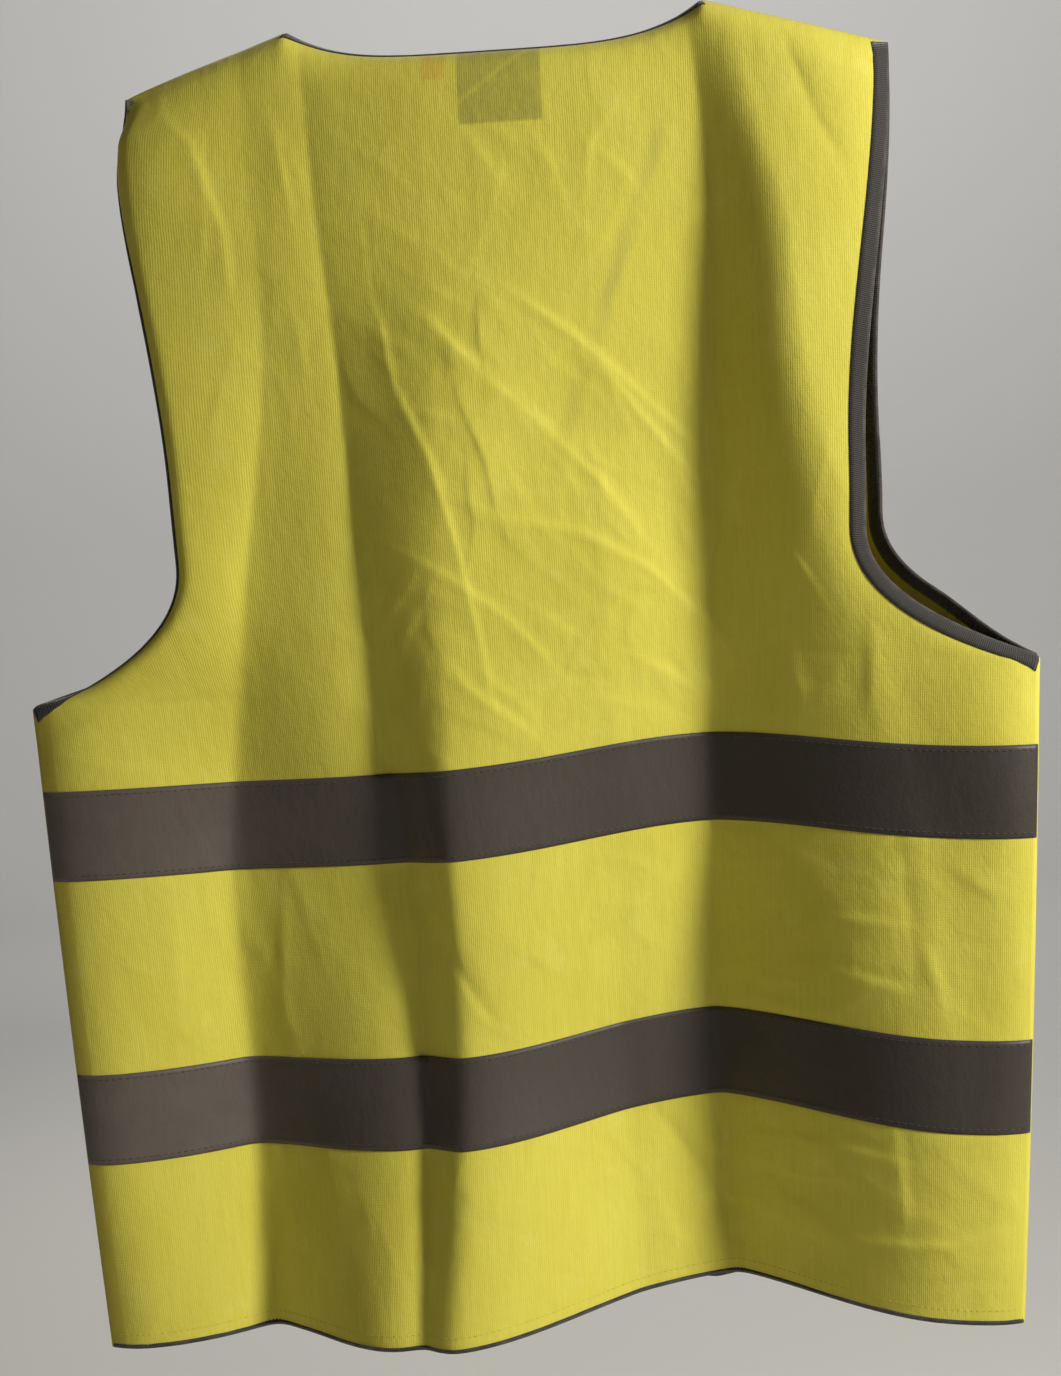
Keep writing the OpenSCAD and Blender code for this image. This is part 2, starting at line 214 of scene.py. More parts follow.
# Long folds pressed into the cloth: height, how far it falls away to the wearer's right and to the left,
# and the line's points (x, v). A height below 0 is a valley.
BACK_PRESSED = [
    (-1.3, 7, 16, [(106, 2), (101, 100), (93, 190), (90, 300)]),
    (-1.8, 9, 18, [(91, 230), (87, 320), (83, 400), (78, 470)]),
    (-3.8, 5, 14, [(81, 395), (73, 450), (70, 500), (69, 560), (69, 640), (70, 722)]),
    (-1.5, 5, 9, [(-152, 12), (-160, 40), (-172, 74), (-184, 96)]),
    (1.6, 8, 16, [(205, 470), (204, 550)]),
    (-1.6, 6, 12, [(-196, 455), (-201, 500), (-203, 540)]),
    (1.3, 7, 14, [(164, 612), (150, 660), (147, 722)]),
    (-2.0, 5, 9, [(68, 482), (48, 515), (29, 548)]),
    (-1.8, 5, 9, [(-55, 618), (-76, 650), (-97, 684)]),
]
# Sharp small creases: how high, how wide the steep side is, and the line. A height above 0 has its steep
# side towards the wearer's right, and one below 0 towards the left.
BACK_CREASES = [
    (0.9, 1.8, [(-5, 155), (-28, 175), (-48, 193), (-98, 247)]),
    (0.8, 1.8, [(-48, 196), (-72, 232), (-104, 275)]),
    (0.9, 1.8, [(4, 207), (-24, 238), (-45, 262), (-65, 293)]),
    (1.0, 2.0, [(5, 278), (-33, 290), (-70, 315), (-100, 348)]),
    (0.8, 1.6, [(43, 165), (18, 193)]),
    (0.9, 1.8, [(68, 163), (62, 200), (45, 240), (32, 295), (20, 365)]),
    (0.7, 1.6, [(50, 215), (33, 220)]),
    (0.8, 1.8, [(62, 290), (35, 308), (5, 335), (-15, 362)]),
    (0.6, 1.6, [(0, 337), (-25, 335)]),
    (-0.8, 1.8, [(28, 208), (15, 245), (10, 275)]),
    (-0.7, 1.6, [(15, 165), (14, 187)]),
    (0.6, 1.6, [(-145, 305), (-158, 325)]),
    (0.8, 2.4, [(180, 45), (165, 60), (150, 110), (148, 140)]),
    (0.6, 2.0, [(120, 60), (113, 100)]),
    (0.9, 1.8, [(38, 360), (18, 379), (0, 395)]),
    (0.7, 1.6, [(-60, 363), (-92, 385)]),
    (0.6, 1.6, [(-147, 365), (-150, 395)]),
    (-1.0, 2.2, [(-186, 345), (-185, 392)]),
    (0.8, 2.2, [(-253, 352), (-266, 372)]),
    (0.9, 2.0, [(255, 375), (232, 366), (203, 360)]),
    (0.5, 1.8, [(173, 405), (172, 425), (110, 452)]),
    (-0.8, 1.8, [(147, 480), (150, 550)]),
    (1.0, 1.8, [(-27, 515), (-50, 505), (-75, 492)]),
    (0.9, 1.8, [(-208, 520), (-215, 545)]),
    (0.9, 1.8, [(-155, 508), (-195, 508)]),
    (1.0, 1.8, [(-150, 537), (-190, 542)]),
    (-0.9, 1.8, [(-230, 482), (-248, 492)]),
    (-0.8, 1.8, [(128, 620), (122, 655)]),
    (1.1, 2.0, [(-138, 672), (-153, 685), (-213, 678), (-245, 668)]),
    (0.9, 1.8, [(-187, 620), (-190, 668)]),
    (1.0, 1.8, [(-133, 635), (-183, 635)]),
]
# Where the back has many small creases: the area's x and v, how many, and the angle of most of them.
BACK_CRUMPLED = [
    ((-105, 75), (70, 400), 130, 0.75),
    ((-250, -105), (455, 712), 120, 1.35),
    ((-95, 240), (462, 566), 45, 0.4),
    ((-95, 240), (620, 714), 45, 0.3),
    ((-240, 250), (365, 408), 22, 1.2),
    ((-180, 200), (30, 350), 26, 0.3),
]
FRONT_CRUMPLED = [
    ((15, 250), (380, 712), 70, 0.9),
    ((60, 190), (40, 380), 36, 0.5),
]


def nearest(x, v, line):
    """Distance from each point to a line of points, and the offset from the line's closest place."""
    best = np.full(x.shape, 1e9)
    off_x, off_v = np.zeros(x.shape), np.zeros(x.shape)
    along = np.zeros(x.shape)
    for n, ((x0, v0), (x1, v1)) in enumerate(zip(line, line[1:])):
        span = max((x1 - x0) ** 2 + (v1 - v0) ** 2, 1e-6)
        t = np.clip(((x - x0) * (x1 - x0) + (v - v0) * (v1 - v0)) / span, 0, 1)
        dx, dv = x - (x0 + t * (x1 - x0)), v - (v0 + t * (v1 - v0))
        far = np.hypot(dx, dv)
        closer = far < best
        best = np.where(closer, far, best)
        off_x, off_v = np.where(closer, dx, off_x), np.where(closer, dv, off_v)
        along = np.where(closer, (n + t) / (len(line) - 1), along)
    return best, off_x, off_v, along


def pressed(x, v, height, right, left, line):
    """A fold line in the cloth that falls away over one distance to its right and another to its left."""
    reach = 4.5 * max(right, left)
    xs, vs = [p[0] for p in line], [p[1] for p in line]
    near = (x > min(xs) - reach) & (x < max(xs) + reach) & (v > min(vs) - reach) & (v < max(vs) + reach)
    out = np.zeros(x.shape)
    far, dx, dv, along = nearest(x[near], v[near], line)
    side_x, side_v = line[-1][1] - line[0][1], line[0][0] - line[-1][0]
    if side_x + 0.35 * side_v > 0:
        side_x, side_v = -side_x, -side_v
    on_right = dx * side_x + dv * side_v > 0
    size = height * (0.5 + 0.5 * np.sin(np.pi * along))
    out[near] = size * np.exp(-far / np.where(on_right, right, left))
    return out


def crease(x, v, height, steep, line):
    """A sharp small crease: steep on one side of its line and gentle on the other."""
    right, left = (steep, steep * 5.5) if height > 0 else (steep * 5.5, steep)
    return pressed(x, v, abs(height), right, left, line)


def crumpled(x, v, areas, side, seed):
    """Many short shallow creases in the given areas, as in cloth that was kept folded."""
    rng = np.random.default_rng(seed)
    out = np.zeros(x.shape)
    for (low_x, high_x), (low_v, high_v), count, angle in areas:
        for _ in range(count):
            at_x, at_v = side * rng.uniform(low_x, high_x), rng.uniform(low_v, high_v)
            turn = -rng.normal(angle, 0.45) * (1 if rng.uniform() < 0.75 else -1)
            length = rng.uniform(10, 58)
            bend = rng.normal(0, 0.08) * length
            step_x, step_v = math.sin(turn) * length / 2, math.cos(turn) * length / 2
            middle = (at_x + bend * math.cos(turn), at_v - bend * math.sin(turn))
            line = [(at_x - step_x, at_v - step_v), middle, (at_x + step_x, at_v + step_v)]
            height = rng.uniform(0.12, 0.62) * (1 if rng.uniform() < 0.6 else -1)
            out += crease(x, v, height, rng.uniform(1.5, 2.8), line)
    return out


def swells(x, v, size, seed):
    """Soft unevenness of hanging cloth, from waves 60 to 180 mm long."""
    rng = np.random.default_rng(seed)
    out = np.zeros(x.shape)
    for _ in range(14):
        wave = rng.uniform(60, 180)
        turn = rng.normal(0, 0.7)
        phase = rng.uniform(0, 2 * math.pi)
        out += np.sin(2 * math.pi * (x * math.cos(turn) + v * math.sin(turn)) / wave + phase) * wave / 180
    return out * size / 3


def smooth(grid, passes):
    """Rounds a grid of heights a little, so that no crease is sharper than the mesh."""
    for _ in range(passes):
        padded = np.pad(grid, 1, mode="edge")
        beside = padded[:-2, 1:-1] + padded[2:, 1:-1] + padded[1:-1, :-2] + padded[1:-1, 2:]
        grid = (2 * grid + beside / 2) / 4
    return grid


def on_tape(v):
    """1 where the stiffer reflective tape is sewn on, 0 elsewhere, with soft edges."""
    share = 0
    for top in (UPPER_TAPE, LOWER_TAPE):
        share = share + ease((v - top + 4) / 8) * ease((top + TAPE_W + 4 - v) / 8)
    return share


def seam_gap(x, v, half, below):
    """The middle of the cloth from the seam's plane: small along the seams, more along the armhole."""
    beside = np.clip(np.abs(x) / half, 0, 1) ** 40
    at_side = SEAM_GAP + 0.9 * (1 - ease((v - ARMPIT) / 25))
    return mix(SEAM_GAP, mix(BODY_GAP, at_side, beside), np.clip(below / 10, 0, 1))


def roll_off(below):
    """A quarter round, from 0 on the shoulder line to 1 below it."""
    return np.sqrt(np.clip(1 - (1 - np.clip(below / ROLL, 0, 1)) ** 2, 0, 1))


def row_depth(v, top):
    """The depth of the mesh row that a place lies on, where top is the upper edge above that place."""
    return np.clip(np.where(v < YOKE, (v - top) / (1 - top / YOKE), v), 0, LENGTH)


def flat_at_edge(x, local, power):
    """1 in the middle of a panel and 0 at its side edges."""
    return 1 - (np.abs(x) / local) ** power


def calmed(detail, x, v, local, below):
    """Small creases, which fade out near the seams and are half as high on the stiff tapes."""
    calm = flat_at_edge(x, local, 14) * np.clip(below / 22, 0, 1) * (1 - 0.5 * on_tape(v))
    return smooth(detail * calm, 1)


class Panel:
    """A hanging panel of cloth: a grid of points, and where a place (x, v) of the cut lies in it."""

    def __init__(self, x, v, points, locate, flat_x):
        self.x, self.v, self.points, self.locate, self.flat_x = x, v, points, locate, flat_x
        across = np.gradient(points, axis=1)
        down = np.gradient(points, axis=0)
        normal = np.cross(across, down)
        self.normals = normal / np.linalg.norm(normal, axis=2, keepdims=True)

    def sample(self, grid, x, v):
        row, column = self.locate(np.asarray(x, float), np.asarray(v, float))
        rows, columns = grid.shape[:2]
        row, column = np.clip(row, 0, rows - 1.001), np.clip(column, 0, columns - 1.001)
        i, j = row.astype(int), column.astype(int)
        s, t = (row - i)[..., None], (column - j)[..., None]
        upper = mix(grid[i, j], grid[i, j + 1], t)
        lower = mix(grid[i + 1, j], grid[i + 1, j + 1], t)
        return mix(upper, lower, s)

    def at(self, x, v, lift=0.0):
        """Points on the cloth, lifted off its middle along its outward side."""
        normal = self.sample(self.normals, x, v)
        normal = normal / np.linalg.norm(normal, axis=-1, keepdims=True)
        lift = np.broadcast_to(np.asarray(lift, float), normal.shape[:-1])[..., None]
        return self.sample(self.points, x, v) + normal * lift


def armhole_line(front=False, steps=90):
    """The armhole's edge on the wearer's left, from the shoulder tip to the armpit."""
    # The steps crowd towards the armpit, where the edge curves most.
    v = SHOULDER_DROP + (ARMPIT - SHOULDER_DROP) * (1 - (1 - np.linspace(0, 1, steps)) ** 1.4)
    return half_width(v, front), v


def curled(v):
    """How far the left armhole's edge is curled in at a drop, from 0 at its two ends to 1."""
    return ease((v - SHOULDER_DROP) / 26) * ease((ARMPIT - v) / 16)


def pull_left(x, v, edge, points, outwards):
    """The left armhole's edge hangs further out or in, and its shoulder tip further in."""
    tip = LEFT_TIP_IN * np.exp(-((v - SHOULDER_DROP) / 34) ** 2)
    points[..., 0] += np.where(x > 0, (outwards * curled(v) - tip) * edge, 0)


def pull_right_front(v, edge, points):
    """The right front gapes at its armhole, so that its edge shows past the back's and higher."""
    gape = ease((v - 130) / 170) * ease((ARMPIT + 4 - v) / 34) * edge
    points[..., 0] -= RIGHT_GAPE[0] * gape
    points[..., 2] += RIGHT_GAPE[1] * gape


def curl_left(x, v, points, width, radius):
    """Turns the last stretch of cloth before the left armhole's edge inwards, round a small radius."""
    line_x, line_v = armhole_line()
    step_x, step_v = np.gradient(line_x), np.gradient(line_v)
    size = np.hypot(step_x, step_v)
    # Distances are taken to a line this far outside the cloth, so that each has a direction.
    beyond = 2
    outside = list(zip(line_x + beyond * step_v / size, line_v - beyond * step_x / size))
    near = (x > ARM_HALF - 45) & (v < ARMPIT + 12)
    far, dx, dv, _ = nearest(x[near], v[near], outside)
    run = np.clip(width + beyond - far, 0, width)
    shift = (radius * np.sin(run / radius) - run) / far
    move = np.stack([-dx * shift, radius * (np.cos(run / radius) - 1), dv * shift], axis=-1)
    points[near] += move * curled(v[near])[:, None]


def hang_back():
    """The back panel, with its folds, creases and the rolled edge of its left armhole."""
    d = np.linspace(0, LENGTH, BACK_ROWS)[:, None]
    u = np.linspace(-1, 1, BACK_COLUMNS)[None, :]
    half = row_half(d)
    x = INNER_HALF * u + (half - INNER_HALF) * u * np.abs(u)
    v = d + back_top(x) * np.clip(1 - d / YOKE, 0, 1)
    local = np.maximum(half_width(v), np.abs(x))
    edge = (np.abs(x) / local) ** 6
    below = v - back_top(x)
    folds = folded(x, v, BACK_FOLDS, -local, local)
    detail = crumpled(x, v, BACK_CRUMPLED, 1, 11) + swells(x, v, 1.1, 5)
    for height, steep, line in BACK_CREASES:
        detail += CREASE_SCALE * crease(x, v, height, steep, line)
    for height, right, left, line in BACK_PRESSED:
        detail += pressed(x, v, height, right, left, line)
    over_neck = NECK_LEAN * np.clip(1 - below / 10, 0, 1) ** 3
    over_neck = over_neck * (1 - np.clip(np.abs(x) / NECK_HALF, 0, 1) ** 8)
    shape = smooth((BACK_STAND * roll_off(below) + folds) * (1 - edge), 3)
    shape = mix(shape, smooth(shape, 20), ease((v - 150) / 600)) * flat_at_edge(x, local, 60)
    y = seam_gap(x, v, local, below) + BACK_ARM_OPEN * arm_share(v) * edge + shape
    y = y + calmed(detail, x, v, local, below) - over_neck
    # The cloth is drawn up beside the deep fold, and stands out below the left shoulder tip.
    drawn = np.exp(-((x + 95) / 95) ** 2) * flat_at_edge(x, local, 8)
    lift = drawn * mix(1, 14, ease(v / 400)) * np.clip(below / 60, 0, 1)
    blade = 9 * np.exp(-((x - 205) / 34) ** 2 - ((v - 82) / 40) ** 2)
    y = y + blade * np.clip(below / 40, 0, 1) * (1 - edge)
    points = np.stack([x, y, lift + NECK_RAISE * over_neck - v], axis=-1)
    curl_left(x, v, points, *LEFT_CURL)
    pull_left(x, v, edge, points, LEFT_OUT)

    def locate(px, pv):
        depth = row_depth(pv, back_top(px))
        grow = row_half(depth) - INNER_HALF
        share = (-INNER_HALF + np.sqrt(INNER_HALF ** 2 + 4 * grow * np.abs(px))) / (2 * grow)
        return depth / LENGTH * (BACK_ROWS - 1), (np.sign(px) * share + 1) / 2 * (BACK_COLUMNS - 1)

    return Panel(x, v, points, locate, x / gather(v))


def hang_front(side, seed):
    """One front: its columns run towards the wearer's right, so that its outward side is -Y."""
    d = np.linspace(0, LENGTH, FRONT_ROWS)[:, None]
    w = np.linspace(0, 1, FRONT_COLUMNS)[None, :]
    outer, inner = row_half(d, True), front_edge(d)
    first, last = (outer, inner) if side > 0 else (-inner, -outer)
    x = mix(first, last, w)
    v = d + shoulder_line(x) * np.clip(1 - d / YOKE, 0, 1)
    local = np.maximum(half_width(v, True), np.abs(x))
    edge = (np.abs(x) / local) ** 10
    below = v - shoulder_line(x)
    stand = mix(FRONT_TOP, FRONT_HEM, v / LENGTH)
    drape = folded(np.abs(x), v, FRONT_FOLDS, front_edge(v), local) * ease(v / 200)
    shape = smooth((stand * roll_off(below) + drape) * (1 - edge), 3) * flat_at_edge(x, local, 60)
    y = -seam_gap(x, v, local, below) - FRONT_ARM_OPEN * arm_share(v) * edge - shape
    detail = crumpled(x, v, FRONT_CRUMPLED, side, seed) + swells(x, v, 2.4, seed + 1)
    y = y - calmed(detail, x, v, local, below)
    points = np.stack([x, y, -v], axis=-1)
    if side > 0:
        pull_left(x, v, edge, points, -LEFT_OUT)
    else:
        pull_right_front(v, edge, points)

    def locate(px, pv):
        depth = row_depth(pv, shoulder_line(px))
        near, far = front_edge(depth), row_half(depth, True)
        share = (np.abs(px) - near) / (far - near)
        column = 1 - share if side > 0 else share
        return depth / LENGTH * (FRONT_ROWS - 1), column * (FRONT_COLUMNS - 1)

    return Panel(x, v, points, locate, x / gather(v))


# ---------------------------------------------------------------- meshes

def mesh_piece(name, points, faces, material, pattern=None):
    """A mesh object from points in millimetres, with its place on the cut cloth in metres."""
    mesh = bpy.data.meshes.new(name)
    mesh.from_pydata(np.asarray(points, float).reshape(-1, 3) * 0.001, [], faces)
    mesh.polygons.foreach_set("use_smooth", [True] * len(mesh.polygons))
    if pattern is not None:
        flat = mesh.attributes.new("flat", "FLOAT_VECTOR", "POINT")
        flat.data.foreach_set("vector", (np.asarray(pattern, float).reshape(-1, 3) * 0.001).ravel())
    mesh.materials.append(material)
    piece = bpy.data.objects.new(name, mesh)
    bpy.context.scene.collection.objects.link(piece)
    return piece


def grid_faces(rows, columns, start=0, flip=False):
    index = np.arange(rows * columns).reshape(rows, columns) + start
    corners = [index[:-1, :-1], index[:-1, 1:], index[1:, 1:], index[1:, :-1]]
    if flip:
        corners.reverse()
    return np.stack(corners, axis=-1).reshape(-1, 4).tolist()


def rim_faces(rows, columns):
    """Joins the rims of two grids, the second of which follows the first in the list of points."""
    index = np.arange(rows * columns).reshape(rows, columns)
    loop = np.concatenate([index[0, :-1], index[:-1, -1], index[-1, :0:-1], index[:0:-1, 0]])
    following = np.roll(loop, -1)
    under = rows * columns
    return np.stack([following, loop, loop + under, following + under], axis=-1).tolist()


def shell_piece(name, outer, inner, pattern, material):
    """A closed sheet between two grids of points. A third pattern value tells its two sides apart."""
    rows, columns = outer.shape[:2]
    faces = grid_faces(rows, columns) + grid_faces(rows, columns, rows * columns, True)
    faces += rim_faces(rows, columns)
    points = np.concatenate([outer.reshape(-1, 3), inner.reshape(-1, 3)])
    flat = np.stack([pattern[0].ravel(), pattern[1].ravel(), np.ones(pattern[0].size)], axis=-1)
    under = flat * [1, 1, 0]
    return mesh_piece(name, points, faces, material, np.concatenate([flat, under]))


def panel_piece(name, panel, material):
    half = KNIT / 2
    outer = panel.points + panel.normals * half
    inner = panel.points - panel.normals * half
    return shell_piece(name, outer, inner, (panel.flat_x, panel.v), material)


def strip_piece(name, panel, x, v, low, high, material):
    """A strip of cloth sewn on a panel, between two lifts off the middle of the panel's cloth.
    Its grid runs as the panel's does: rows down, and columns so that its first side faces outwards."""
    outer, inner = panel.at(x, v, high), panel.at(x, v, low)
    if low < 0:
        outer, inner = panel.at(x, v, low), panel.at(x, v, high)
        outer, inner, x, v = outer[:, ::-1], inner[:, ::-1], x[:, ::-1], v[:, ::-1]
    return shell_piece(name, outer, inner, (x / gather(v), v), material)


def join_faces(parts):
    """Points and faces of several bits, as one list of each."""
    points, faces, flat, start = [], [], [], 0
    for bit_points, bit_faces, bit_flat in parts:
        points.append(bit_points)
        flat.append(bit_flat)
        faces += [[n + start for n in face] for face in bit_faces]
        start += len(bit_points)
    return np.concatenate(points), faces, np.concatenate(flat)


def tube_faces(rings, around):
    """Faces of a tube of rings, closed at both ends."""
    faces = []
    for i in range(rings - 1):
        for j in range(around):
            k = (j + 1) % around
            faces.append([i * around + j, (i + 1) * around + j, (i + 1) * around + k, i * around + k])
    faces.append(list(range(around)))
    faces.append([(rings - 1) * around + j for j in range(around)][::-1])
    return faces


def fix_facing(points, faces):
    """Turns the faces of a closed bit round if they face inwards."""
    volume = 0.0
    for face in faces:
        a = points[face[0]]
        for b, c in zip(face[1:], face[2:]):
            volume += np.dot(a, np.cross(points[b], points[c]))
    return faces if volume > 0 else [face[::-1] for face in faces]


# ---------------------------------------------------------------- bindings and stitches

def edge_offsets(panel, x, v, in_x, in_v, distances):
    """Places at real distances from an edge, measured along the hanging cloth."""
    steps = np.linspace(0, 14, 57)
    px = x[:, None] + in_x[:, None] * steps
    pv = v[:, None] + in_v[:, None] * steps
    run = np.linalg.norm(np.diff(panel.at(px, pv), axis=1), axis=2)
    run = np.concatenate([np.zeros((len(x), 1)), np.cumsum(run, axis=1)], axis=1)
    reach = np.stack([np.interp(wanted, row, steps) for wanted, row in zip(distances, run)])
    return x[:, None] + in_x[:, None] * reach, v[:, None] + in_v[:, None] * reach


def binding_bit(panel, x, v, outer_w, inner_w, seed, thick=0.6):
    """Braid folded round an edge of the cloth. The edge runs through (x, v), with the cloth on the side
    that the left-hand turn of its direction points to."""
    rng = np.random.default_rng(seed)
    dx, dv = np.gradient(x), np.gradient(v)
    size = np.hypot(dx, dv)
    in_x, in_v = dv / size, -dx / size
    half = KNIT / 2
    outer_w = np.broadcast_to(outer_w, x.shape)[:, None]
    outer = np.concatenate([outer_w * [1, 0.97, 0.68, 0.34], np.full(outer_w.shape, 0.7)], axis=1)
    inner = np.broadcast_to([0.7, inner_w * 0.34, inner_w * 0.68, inner_w - 0.25, inner_w], outer.shape)
    px, pv = edge_offsets(panel, x, v, in_x, in_v, np.concatenate([outer, inner], axis=1))
    puff = np.convolve(rng.normal(0, 1, len(x) + 4), np.ones(5) / 5, mode="valid")[:, None]
    high = half + thick * (1 + 0.10 * puff)
    side = np.array([0.10, 1, 1.12, 1.12, 1])
    lift_out = half + (high - half) * side
    lift_in = half + (high - half) * side[::-1]
    top = panel.at(px[:, :5], pv[:, :5], lift_out)
    bottom = panel.at(px[:, 5:], pv[:, 5:], -lift_in)
    edge = panel.at(x, v)
    step = edge - panel.at(px[:, 4], pv[:, 4])
    beyond = step / np.maximum(np.linalg.norm(step, axis=1, keepdims=True), 1e-6)
    normal = panel.sample(panel.normals, x, v)
    nose = [edge + beyond * 0.35 + normal * high * 0.75, edge + beyond * 0.75,
            edge + beyond * 0.35 - normal * high * 0.75]
    rings = np.concatenate([top, np.stack(nose, axis=1), bottom], axis=1)
    along = np.concatenate([[0], np.cumsum(np.linalg.norm(np.diff(edge, axis=0), axis=1))])
    nose_across = np.broadcast_to([0.2, 0, -0.2], (len(x), 3))
    across = np.concatenate([outer, nose_across, -inner], axis=1)
    flat = np.stack(np.broadcast_arrays(along[:, None], across, 1.0), axis=-1).reshape(-1, 3)
    points = rings.reshape(-1, 3)
    return points, fix_facing(points, tube_faces(len(x), rings.shape[1])), flat


# Each stitch is a tube of five rings: their shares of its length, their sizes and how far they stand up.
STITCH_SIDES = 5
STITCH_SHARES = np.array([0, 0.2, 0.5, 0.8, 1])
STITCH_SIZES = np.array([0.4, 1, 1, 1, 0.4])
STITCH_HEIGHTS = np.array([-0.2, 0.04, 0.1, 0.04, -0.2])
STITCH_FACES = tube_faces(5, STITCH_SIDES)
TAPE_STITCH = (3.8, 2.9, 0.22)    # from one stitch to the next, its length and its thread's radius


def stitch_row(panel, x, v, lift, pitch, length, radius):
    """A row of stitches on the line through (x, v), each a short thread that dips into the cloth."""
    line = panel.at(x, v, lift)
    run = np.concatenate([[0], np.cumsum(np.linalg.norm(np.diff(line, axis=0), axis=1))])
    normal = panel.sample(panel.normals, x, v) * math.copysign(1, lift)
    bits = []
    angles = np.linspace(0, 2 * math.pi, STITCH_SIDES, endpoint=False)
    for start in np.arange(pitch / 2, run[-1] - length, pitch):
        at = start + STITCH_SHARES * length
        middle = np.stack([np.interp(at, run, line[:, k]) for k in range(3)], axis=-1)
        up = np.array([np.interp(start, run, normal[:, k]) for k in range(3)])
        up = up / np.linalg.norm(up)
        ahead = middle[-1] - middle[0]
        side = np.cross(ahead, up)
        side = side / np.linalg.norm(side)
        middle = middle + up * STITCH_HEIGHTS[:, None]
        ring = side * np.cos(angles)[:, None] + up * np.sin(angles)[:, None]
        points = (middle[:, None, :] + ring[None] * radius * STITCH_SIZES[:, None, None]).reshape(-1, 3)
        bits.append((points, STITCH_FACES, np.zeros((len(points), 3))))
    return bits


def piece_from_bits(name, bits, material):
    points, faces, flat = join_faces(bits)
    return mesh_piece(name, points, faces, material, flat)


# ---------------------------------------------------------------- materials

class Finish:
    """A procedural material on one Principled shader, with short calls for its nodes."""

    def __init__(self, name, **sockets):
        self.material = bpy.data.materials.new(name)
        self.material.use_nodes = True
        self.nodes, self.links = self.material.node_tree.nodes, self.material.node_tree.links
        self.shader = self.nodes["Principled BSDF"]
        for socket, value in sockets.items():
            self.shader.inputs[socket.replace("_", " ")].default_value = value
        place = self.nodes.new("ShaderNodeAttribute")
        place.attribute_name = "flat"
        self.flat = place.outputs["Vector"]
        axes = self.nodes.new("ShaderNodeSeparateXYZ")
        self.links.new(self.flat, axes.inputs[0])
        # Metres across and down the cut cloth, and 0.001 on its outer side or 0 on its inner one.
        self.x, self.v, self.outside = axes.outputs

    def feed(self, socket, value):
        if isinstance(value, bpy.types.NodeSocket):
            self.links.new(value, socket)
        else:
            socket.default_value = value

    def math(self, operation, *values):
        node = self.nodes.new("ShaderNodeMath")
        node.operation = operation
        for socket, value in zip(node.inputs, values):
            self.feed(socket, value)
        return node.outputs[0]

    def times(self, a, b):
        return self.math("MULTIPLY", a, b)

    def stretch(self, x, y):
        """The pattern's place in metres, scaled across and down."""
        node = self.nodes.new("ShaderNodeVectorMath")
        node.operation = "MULTIPLY"
        self.links.new(self.flat, node.inputs[0])
        node.inputs[1].default_value = (x, y, 1)
        return node.outputs[0]

    def noise(self, across, down, detail=2, roughness=0.5):
        """Noise with about this many blotches to the metre across and down the cloth."""
        return self.noise_at(self.stretch(across, down), detail, roughness)

    def noise_at(self, vector, detail, roughness):
        node = self.nodes.new("ShaderNodeTexNoise")
        self.links.new(vector, node.inputs["Vector"])
        node.inputs["Scale"].default_value = 1
        node.inputs["Detail"].default_value = detail
        node.inputs["Roughness"].default_value = roughness
        return node.outputs[0]

    def span(self, value, low, high, to_low=0.0, to_high=1.0, soft=False):
        """The value's place between low and high, clamped, as a number from to_low to to_high."""
        node = self.nodes.new("ShaderNodeMapRange")
        node.interpolation_type = "SMOOTHSTEP" if soft else "LINEAR"
        for socket, number in zip(node.inputs, (value, low, high, to_low, to_high)):
            self.feed(socket, number)
        return node.outputs[0]

    def blend(self, share, a, b):
        node = self.nodes.new("ShaderNodeMix")
        node.data_type = "RGBA"
        self.feed(node.inputs[0], share)
        self.feed(node.inputs[6], a)
        self.feed(node.inputs[7], b)
        return node.outputs[2]

    def wave(self, value, period, shift=0.0):
        """A wave from 0 to 1 with this period in metres."""
        turned = self.math("MULTIPLY_ADD", value, 2 * math.pi / period, shift)
        return self.math("MULTIPLY_ADD", self.math("SINE", turned), 0.5, 0.5)

    def window(self, value, low, high, soft):
        """1 between low and high, fading over soft metres on each side."""
        rise = self.span(value, low - soft, low + soft, soft=True)
        fall = self.span(value, high - soft, high + soft, 1.0, 0.0, soft=True)
        return self.times(rise, fall)

    def area(self, x_from, x_to, v_from, v_to, soft):
        """1 inside a rectangle of the cut cloth."""
        return self.times(self.window(self.x, x_from, x_to, soft), self.window(self.v, v_from, v_to, soft))

    def bump(self, height, depth, strength=1.0, under=None):
        node = self.nodes.new("ShaderNodeBump")
        node.inputs["Strength"].default_value = strength
        node.inputs["Distance"].default_value = depth
        self.feed(node.inputs["Height"], height)
        if under is not None:
            self.links.new(under, node.inputs["Normal"])
        return node.outputs[0]

    def done(self, color, normal=None, roughness=None):
        self.feed(self.shader.inputs["Base Color"], color)
        if normal is not None:
            self.feed(self.shader.inputs["Normal"], normal)
        if roughness is not None:
            self.feed(self.shader.inputs["Roughness"], roughness)
        return self.material


YELLOW = (0.72, 0.655, 0.095, 1)
YELLOW_DEEP = (0.62, 0.535, 0.055, 1)
YELLOW_WORN = (0.74, 0.69, 0.16, 1)


